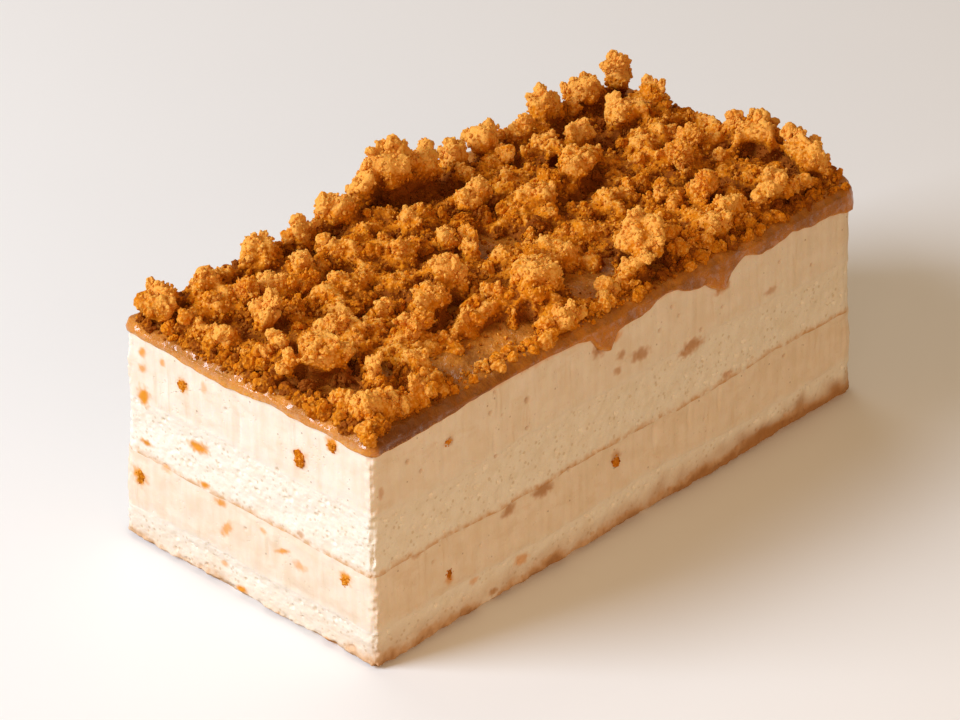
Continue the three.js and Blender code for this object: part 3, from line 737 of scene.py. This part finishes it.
makeLayer("base_sponge", "base_sponge_cut", "sponge", spongePaint("base_sponge", True))
makeLayer("lower_cream", "lower_cream_cut", "cream", creamPaint("lower_cream", cream["lower"], False))
makeLayer("middle_sponge", "middle_sponge_cut", "sponge", spongePaint("middle_sponge", False))
makeLayer("upper_cream", "upper_cream_cut", "cream", creamPaint("upper_cream", cream["upper"], True))


# The spread glaze

glaze = {
    "edgeLength": {"top": 1.4, "side": 0.44},
    "wave": 0.36,
    "waveLength": 5.4,
    "ripple": 0.26,
    "rippleLength": 1.8,
    "grain": 0.14,
    "grainLength": 0.75,
    "smoothings": 3,
    "skirtClose": 0.42,  # how far the skirt moves in, so that it lies on the cream
    "skirtWave": 0.35,  # how far its lower edge rises and falls, over skirtWaveLength
    "skirtWaveLength": 2.3,
    "thin": rgb(0.60, 0.22, 0.022),
    "thick": rgb(0.34, 0.12, 0.015),
    "deep": rgb(0.16, 0.043, 0.006),
    "film": rgb(0.64, 0.25, 0.045),
    "fringe": rgb(0.80, 0.34, 0.035),
    "deepFrom": -49,  # along the front, it is thickest and darkest here and gets lighter up to deepTo: partly glaze run thicker, partly painted shade on the front side
    "deepTo": -14,
    "deepShare": 0.85,
    "filmShare": 0.8,
    "cloudSize": 6,
    "brokenSize": 2.6,
    "fineSize": 0.7,
    "dry": 0.08,  # the coat's weight, and how much more it has in the wet patches, which glint
    "wet": 0.8,
    "wetSize": 1.2,
    "bump": (0.26, 0.9),
    "soft": (0.2, (1.0, 0.4, 0.15), 1.5),
}


def makeGlaze():
    bm = copyOfNode("spread_glaze")
    topHeight = glazeTop * mm

    def isTop(e):
        return all(v.co.z > topHeight - 0.1 * mm for v in e.verts)

    def isUnder(e):
        return all(abs(v.co.z - creamTop * mm) < 0.01 * mm for v in e.verts)

    splitLongEdges(bm, glaze["edgeLength"]["top"], isTop)
    splitLongEdges(bm, glaze["edgeLength"]["side"], lambda e: not isTop(e) and not isUnder(e))
    loose = [v for v in bm.verts if v.co.z > (creamTop + 0.1) * mm]
    for turn in range(glaze["smoothings"]):
        smoothed(bm, loose)
    bm.normal_update()
    fringe = bm.verts.layers.float.new("fringe")
    deep = bm.verts.layers.float.new("deep")
    film = bm.verts.layers.float.new("film")
    outward = [v.normal.copy() for v in bm.verts]
    for v, normal in zip(bm.verts, outward):
        place = v.co / mm
        out = wayOut(place)
        beside = ease(-insetOf(place)[0], -1.2, 0.1) if place.x < 0 else 0
        v[film] = beside * (1 - 0.75 * ease(normal.z, 0.1, 0.7))  # on the left it is paler, partly a thin film and partly painted light, least where it faces up
        inFront = ease(-insetOf(place)[1], -1.6, 0) if place.y < 0 else 0
        # partly thicker glaze, partly painted shade on the front side
        v[deep] = inFront * (1 - ease(place.x, glaze["deepFrom"], glaze["deepTo"])) * (1 - beside)
        if place.z > creamTop + 0.1:
            shift = glaze["wave"] * noise.noise(place / glaze["waveLength"])
            shift += glaze["ripple"] * noise.noise(place / glaze["rippleLength"])
            shift += glaze["grain"] * noise.noise(place / glaze["grainLength"])
            v.co += normal * shift * mm
        elif place.z < creamTop - 0.02:
            low = ease(creamTop - place.z, 0.0, 0.8)
            v[fringe] = max(ease(-normal.z, -0.05, 0.5), 0.7 * beside * low)
            close = glaze["skirtClose"] if normal.dot(out) < 0 else glaze["skirtClose"] * 0.45 * low
            v.co -= out * close * mm
            v.co.z += glaze["skirtWave"] * noise.noise(place / glaze["skirtWaveLength"]) * low * mm
    for f in bm.faces:
        f.smooth = True
    return addPiece("glaze_spread", bm, glazePaint(), ["spread_glaze"])


def glazePaint():
    paint = Paint("biscuit_spread")
    clouds = paint.noise(glaze["cloudSize"], 3)
    colour = paint.mix(paint.step(clouds, 0.35, 0.65), glaze["thin"], glaze["thick"])
    colour = paint.mix(paint.attribute("deep") * glaze["deepShare"], colour, glaze["deep"])
    colour = paint.mix(paint.attribute("film") * glaze["filmShare"], colour, glaze["film"])
    broken = paint.step(paint.noise(glaze["brokenSize"], 3), 0.35, 0.6)
    colour = paint.mix(paint.attribute("fringe") * (0.35 + 0.45 * broken), colour, glaze["fringe"])
    fine = paint.noise(glaze["fineSize"], 3)
    normal = paint.bump(fine + paint.noise(0.32, 2) * 0.5, *glaze["bump"])
    wet = paint.step(paint.noise(glaze["wetSize"], 2), 0.5, 0.6)
    inputs = {"Base Color": colour, "Roughness": 0.2 + 0.22 * fine, "Normal": normal}
    inputs.update({"Specular IOR Level": 0.35, "Specular Tint": rgb(1.0, 0.68, 0.4)})
    inputs.update({"Coat Weight": glaze["dry"] + glaze["wet"] * wet, "Coat Roughness": 0.07})
    return paint.finish(softly(inputs, *glaze["soft"]))


glazePiece = makeGlaze()


# The crumb heap: a core over its own outline, with crumbs and grains strewn on it

heap = {
    "voxel": 0.3,
    "finalVoxel": 0.375,
    "sink": 0.5,  # how far the core's rim reaches down into the glaze
    "film": 0.14,  # where it would be thinner than this, the glaze shows
    "leastIsland": 60,  # faces
    "lowest": 0.7,  # up to this height over the glaze the core is smoothed
    "shrink": 0.3,
    "scales": [(4.4, 0.7), (2.2, 0.62), (1.1, 0.36), (0.6, 0.18)],  # granules: size, how far they stand out
    "cavity": 1.2,
    "cavityShare": 0.14,
    "toneSize": 2.0,
    "gap": 0.9,  # how much deeper the gaps between the lumps are
}
biscuit = {
    "darkAndShade": rgb(0.28, 0.07, 0.004),
    "middle": rgb(0.70, 0.225, 0.003),
    "light": rgb(0.94, 0.48, 0.095),
    "lightShare": 0.85,
    "patchSize": 1.5,
    "brightSize": 0.5,
    "granuleSize": 0.5,
    "bump": (0.22, 0.8),
    "soft": (0.12, (1.0, 0.4, 0.1), 0.7),
}


def biscuitPaint(name):
    paint = Paint(name)
    toneAndGapShade = paint.attribute("toneAndGapShade")
    patches = paint.noise(biscuit["patchSize"], 4, 0.65)
    granule = paint.cells(biscuit["granuleSize"])
    # painted shade: darker deep in the gaps, through the tone attribute, and in the cracks between granules;
    # the rest of the dark patches are random
    deep = paint.step(patches * 0.5 + toneAndGapShade * 0.5 - granule * 0.16, 0.2, 0.44)
    colour = paint.mix(deep, biscuit["darkAndShade"], biscuit["middle"])
    # partly random pale patches, partly painted light on the granules' middles and on high crumbs
    paleAndLit = paint.step(paint.noise(biscuit["brightSize"], 3) * 0.6 + toneAndGapShade * 0.4 - granule * 0.2, 0.37, 0.6)
    colour = paint.mix(paleAndLit * biscuit["lightShare"], colour, biscuit["light"])
    height = paint.noise(0.3, 4, 0.7) - granule * 0.8
    normal = paint.bump(height, *biscuit["bump"])
    inputs = {"Base Color": colour, "Roughness": 0.75, "Specular IOR Level": 0.1, "Normal": normal}
    return paint.finish(softly(inputs, *biscuit["soft"]))


def brokenHeight(place, size):  # a granule: round, with its own height, and steep where it meets the next
    distances, spots = noise.voronoi(place / size)
    rounded = 1 - min(1.0, distances[0] / 0.8) ** 2
    return 0.9 * rounded - 0.5 + 1.1 * (lot(spots[0]) - 0.5), lot(spots[0] * 1.7)


def heapShift(place, facing, depth):  # depth is how far the place lies below its surroundings, in mm
    upward = ease(facing.z, -0.2, 0.5)
    shift = -heap["shrink"] - heap["gap"] * ease(depth, 0.0, 2.0) * upward
    for size, amount in heap["scales"]:
        height, chance = brokenHeight(place, size)
        shift += amount * height
        if 1 < size < 3 and chance < heap["cavityShare"]:
            shift -= heap["cavity"] * amount * upward
    return shift


def remeshed(bm, voxel):
    mesh = bpy.data.meshes.new("rough_heap")
    bm.to_mesh(mesh)
    bm.free()
    rough = bpy.data.objects.new("rough_heap", mesh)
    scene.collection.objects.link(rough)
    modifier = rough.modifiers.new("voxels", "REMESH")
    modifier.mode = "VOXEL"
    modifier.voxel_size = voxel * mm
    modifier.adaptivity = 0.0
    shape = rough.evaluated_get(bpy.context.evaluated_depsgraph_get()).to_mesh()
    bm = bmesh.new()
    bm.from_mesh(shape)
    bpy.data.objects.remove(rough)
    bpy.data.meshes.remove(mesh)
    return bm


class Relief:  # the height of the heap's top, cell by cell, and how far a place lies below its surroundings
    def __init__(self, surface, cell=1.0, reach=3):
        low, high = outlineAt(glazeTop)
        self.low = low
        self.cell = cell
        self.columns = int((high.x - low.x) / cell) + 1
        self.rows = int((high.y - low.y) / cell) + 1
        heights = {}
        for i in range(self.columns):
            for j in range(self.rows):
                spot = Vector((low.x + (i + 0.5) * cell, low.y + (j + 0.5) * cell, aboveAll))
                hit = surface.ray_cast(spot * mm, Vector((0, 0, -1)))[0]
                heights[i, j] = hit.z / mm if hit else glazeTop
        self.around = {}
        for i, j in heights:
            steps = range(-reach, reach + 1)
            near = [heights.get((i + a, j + b), glazeTop) for a in steps for b in steps]
            self.around[i, j] = sum(near) / len(near)

    def depthOf(self, place):
        i = min(max(int((place.x - self.low.x) / self.cell), 0), self.columns - 1)
        j = min(max(int((place.y - self.low.y) / self.cell), 0), self.rows - 1)
        return self.around[i, j] - place.z


crumbTone = {"middle": 0.56, "gapShade": 0.26, "spread": 0.36}


def toneAndGapShadeAt(depth, chance):  # painted shade: crumbs are darker the deeper they lie in the gaps, and their tone also varies at random
    toneAndGapShade = crumbTone["middle"] - crumbTone["gapShade"] * depth + crumbTone["spread"] * (chance - 0.5)
    return min(max(toneAndGapShade, 0.0), 1.0)


def dropIslands(bm, least):  # deletes the parts of a mesh that have fewer faces than least
    bm.faces.index_update()
    seen = [False] * len(bm.faces)
    small = []
    for start in bm.faces:
        if seen[start.index]:
            continue
        seen[start.index] = True
        island = [start]
        for face in island:
            for edge in face.edges:
                for other in edge.link_faces:
                    if not seen[other.index]:
                        seen[other.index] = True
                        island.append(other)
        if len(island) < least:
            small += island
    bmesh.ops.delete(bm, geom=small, context="FACES")


def makeHeapCore(material):
    bm = remeshed(copyOfNode("biscuit_crumbs"), heap["voxel"])
    smoothed(bm, bm.verts)
    bm.normal_update()
    relief = Relief(BVHTree.FromBMesh(bm))
    shifts = []
    for v in bm.verts:
        place = v.co / mm
        low = ease(place.z, glazeTop, glazeTop + 0.6)
        shifts.append(v.normal * heapShift(place, v.normal, relief.depthOf(place)) * low * mm)
    for v, shift in zip(bm.verts, shifts):
        v.co += shift
        v.co.z = max(v.co.z, (glazeTop - heap["sink"]) * mm)
    bm = remeshed(bm, heap["finalVoxel"])
    bmesh.ops.bisect_plane(bm, geom=[*bm.verts, *bm.edges, *bm.faces], plane_no=(0, 0, 1),
                           plane_co=(0, 0, (glazeTop + heap["film"]) * mm), clear_inner=True)
    dropIslands(bm, heap["leastIsland"])
    smoothed(bm, [v for v in bm.verts if v.co.z < (glazeTop + heap["lowest"]) * mm])
    for v in bm.verts:
        if v.is_boundary:
            v.co.z = (glazeTop - heap["sink"]) * mm
    bmesh.ops.holes_fill(bm, edges=[e for e in bm.edges if e.is_boundary], sides=0)
    bmesh.ops.triangulate(bm, faces=[f for f in bm.faces if len(f.verts) > 4])
    toneAndGapShade = bm.verts.layers.float.new("toneAndGapShade")
    for v in bm.verts:
        place = v.co / mm
        # painted shade: darker where the core lies below its surroundings
        v[toneAndGapShade] = toneAndGapShadeAt(relief.depthOf(place), lot(noise.voronoi(place / heap["toneSize"])[1][0]))
    for f in bm.faces:
        f.smooth = True
    surface = BVHTree.FromBMesh(bm)
    faces = [(f.calc_center_median(), f.normal.copy(), f.calc_area()) for f in bm.faces if f.normal.z > -0.3]
    addPiece("crumb_heap", bm, material, ["biscuit_crumbs"])
    return surface, faces, relief


crumbKinds = {
    "large_crumbs": {
        "count": 30, "radius": (1.4, 2.2), "subdivisions": 5, "shapes": 9, "sunk": 0.35, "seed": 11,
        "scales": [(0.9, 0.3), (0.45, 0.24), (0.22, 0.16)], "broken": 1,
    },
    "loose_crumbs": {
        "count": 220, "radius": (0.6, 1.4), "subdivisions": 3, "shapes": 14, "sunk": 0.2, "seed": 12,
        "scales": [(0.9, 0.36), (0.42, 0.22)], "broken": 1,
    },
    "crumb_grains": {
        "count": 7200, "radius": (0.24, 0.5), "subdivisions": 1, "shapes": 16, "sunk": 0.15, "seed": 13,
        "scales": [(0.8, 0.4)], "broken": 0,
    },
    "fine_grains": {
        "count": 9600, "radius": (0.13, 0.26), "subdivisions": 1, "shapes": 12, "sunk": 0.1, "seed": 14,
        "scales": [(0.8, 0.4)], "broken": 0,
    },
}
grainShares = {"onCore": 0.8, "anywhere": 0.08, "alongRim": 0.12}  # where the grains of a kind go
edgeRain = [  # more crumbs lie along the rim: count, lowest and highest share along and across the slice
    (110, (0.003, 0.035), (0.02, 0.98)),
    (26, (0.0, 0.014), (0.03, 0.97)),
    (14, (0.001, 0.035), (0.001, 0.06)),
    (50, (0.02, 0.5), (0.012, 0.08)),
    (110, (0.4, 0.98), (0.004, 0.07)),
    (40, (0.955, 0.995), (0.04, 0.96)),
    (46, (0.02, 0.98), (0.92, 0.993)),
]


def crumbShapes(kind, draw):  # broken bits one unit in radius
    shapes = []
    for number in range(kind["shapes"]):
        bm = bmesh.new()
        bmesh.ops.create_icosphere(bm, subdivisions=kind["subdivisions"], radius=1)
        aside = Vector((number * 7.3, number * 3.1, 0))
        flats = [Vector([draw.gauss(0, 1) for axis in range(3)]).normalized() for n in range(kind["broken"])]
        for v in bm.verts:
            place = v.co + aside
            v.co *= 1 + sum(amount * brokenHeight(place, size)[0] for size, amount in kind["scales"])
            for facing in flats:
                over = v.co.dot(facing) - 0.6
                if over > 0:
                    v.co -= facing * over * 0.6
        bmesh.ops.scale(bm, vec=(1, draw.uniform(0.7, 1), draw.uniform(0.6, 0.95)), verts=bm.verts)
        bmesh.ops.recalc_face_normals(bm, faces=bm.faces)
        mesh = bpy.data.meshes.new("crumb_shape")
        bm.to_mesh(mesh)
        bm.free()
        mesh.attributes.new("toneAndGapShade", "FLOAT", "POINT")
        shapes.append(mesh)
    return shapes


def placeShape(bm, shape, matrix, toneAndGapShade):  # adds a placed copy of a shape to a piece
    shape.attributes["toneAndGapShade"].data.foreach_set("value", [toneAndGapShade] * len(shape.vertices))
    shape.transform(matrix)
    bm.from_mesh(shape)
    shape.transform(matrix.inverted())


def anyTurn(draw):
    return Euler([draw.uniform(0, 2 * math.pi) for axis in range(3)]).to_matrix().to_4x4()


def strew(name, kind, places, material, relief, draw):
    shapes = crumbShapes(kind, draw)
    bm = bmesh.new()
    bm.verts.layers.float.new("toneAndGapShade")
    for place, normal in places:
        least, most = kind["radius"]
        radius = (least + (most - least) * draw.random() ** 1.6) * mm
        turn = anyTurn(draw)
        middle = place + normal * radius * (0.5 - kind["sunk"] * 2 * draw.random())
        matrix = Matrix.Translation(middle) @ turn @ Matrix.Scale(radius, 4)
        # painted shade: a crumb lying deep among the others is darker
        placeShape(bm, draw.choice(shapes), matrix, toneAndGapShadeAt(relief.depthOf(middle / mm), draw.random()))
    for shape in shapes:
        bpy.data.meshes.remove(shape)
    addPiece(name, bm, material)


# Places where crumbs dropped on the slice come to lie, at least lowest mm above the glaze
def rainOn(surfaces, count, draw, along=(0.01, 0.99), across=(0.02, 0.98), lowest=0.0):
    low, high = outlineAt(glazeTop)
    places = []
    for turn in range(count * 20):
        if len(places) == count:
            break
        x = low.x + (high.x - low.x) * draw.uniform(*along)
        y = low.y + (high.y - low.y) * draw.uniform(*across)
        hits = [s.ray_cast(Vector((x, y, aboveAll)) * mm, Vector((0, 0, -1)))[:2] for s in surfaces]
        hits = [h for h in hits if h[0] is not None and h[0].z > (glazeTop + lowest) * mm]
        if hits:
            places.append(max(hits, key=lambda h: h[0].z))
    return places


def surfaceOf(piece):
    bm = bmesh.new()
    bm.from_mesh(piece.data)
    tree = BVHTree.FromBMesh(bm)
    bm.free()
    return tree


def makeHeap():
    material = biscuitPaint("broken_biscuit")
    surface, faces, relief = makeHeapCore(material)
    both = [surface, surfaceOf(glazePiece)]
    rimCount = sum(strip[0] for strip in edgeRain)
    weights = [area for centre, normal, area in faces]
    for name, kind in crumbKinds.items():
        draw = random.Random(kind["seed"])
        if name == "large_crumbs":
            places = rainOn(both, kind["count"], draw, (0.03, 0.97), (0.06, 0.94), 1.0)
        elif name == "loose_crumbs":
            places = rainOn(both, kind["count"], draw, (0.02, 0.98), (0.04, 0.96), 0.5)
            for count, along, across in edgeRain:
                places += rainOn(both, count, draw, along, across, -1.0)
        else:
            onCore, anywhere, alongRim = (kind["count"] * share for share in grainShares.values())
            places = [f[:2] for f in draw.choices(faces, weights, k=int(onCore))]
            places += rainOn(both, int(anywhere), draw, lowest=-1.0)
            for count, along, across in edgeRain:
                places += rainOn(both, int(alongRim * count / rimCount), draw, along, across, -1.0)
        strew(name, kind, places, material, relief, draw)


makeHeap()


# Bits of biscuit that stick to the cut sides

stuckBits = [  # side, along, height, wide, tall, how far out
    ("left", -10.6, 28.1, 2.5, 2.9, 0.8),
    ("left", -16.8, 32.6, 1.7, 1.7, 0.4),
    ("left", 12.8, 30.2, 1.8, 2.1, 0.4),
    ("front", -36.8, 30.2, 1.9, 1.3, 0.4),
    ("right", -9.0, 28.6, 2.2, 1.6, 0.5),
    ("back", -18.0, 27.8, 2.4, 1.8, 0.6),
    ("back", 31.0, 30.6, 2.2, 1.8, 0.5),
    ("left", -19.4, 12.2, 1.9, 1.9, 0.42),
    ("left", 22.2, 11.2, 2.1, 2.6, 0.42),
    ("front", -37.4, 9.0, 1.6, 1.8, 0.4),
    ("front", -2.7, 11.8, 1.8, 2.1, 0.45),
    ("right", 12.0, 11.2, 1.6, 1.8, 0.5),
    ("back", 22.0, 10.2, 1.8, 2.2, 0.5),
]
stuckShape = {
    "subdivisions": 4, "shapes": 6, "sunk": 0.05, "seed": 21,
    "scales": [(0.8, 0.18), (0.4, 0.2), (0.2, 0.14)], "broken": 0,
}
stuckGrains = {
    "count": 9, "radius": (0.12, 0.26), "reach": (0.6, 1.05), "subdivisions": 2, "shapes": 5,
    "scales": [(0.8, 0.4)], "broken": 0,
}


def makeStuckBits():
    draw = random.Random(stuckShape["seed"])
    bits = crumbShapes(stuckShape, draw)
    grains = crumbShapes(stuckGrains, draw)
    bm = bmesh.new()
    bm.verts.layers.float.new("toneAndGapShade")
    for side, along, height, wide, tall, out in stuckBits:
        size = (2 * out, wide, tall) if side in ("left", "right") else (wide, 2 * out, tall)
        centre = onSide(side, along, height) - outFrom[side] * stuckShape["sunk"]
        turn = anyTurn(draw)
        matrix = Matrix.Translation(centre * mm) @ Matrix.Diagonal((*(s / 2 * mm for s in size), 1)) @ turn
        placeShape(bm, draw.choice(bits), matrix, draw.uniform(0.3, 0.6))
        for n in range(stuckGrains["count"]):
            angle = draw.uniform(0, 2 * math.pi)
            reach = draw.uniform(*stuckGrains["reach"])
            beside = along + reach * wide / 2 * math.cos(angle)
            over = height + reach * tall / 2 * math.sin(angle)
            radius = draw.uniform(*stuckGrains["radius"])
            matrix = Matrix.Translation(onSide(side, beside, over) * mm) @ Matrix.Scale(radius * mm, 4)
            placeShape(bm, draw.choice(grains), matrix, draw.uniform(0.2, 0.7))
    for shape in bits + grains:
        bpy.data.meshes.remove(shape)
    addPiece("stuck_bits", bm, biscuitPaint("stuck_biscuit"))


makeStuckBits()
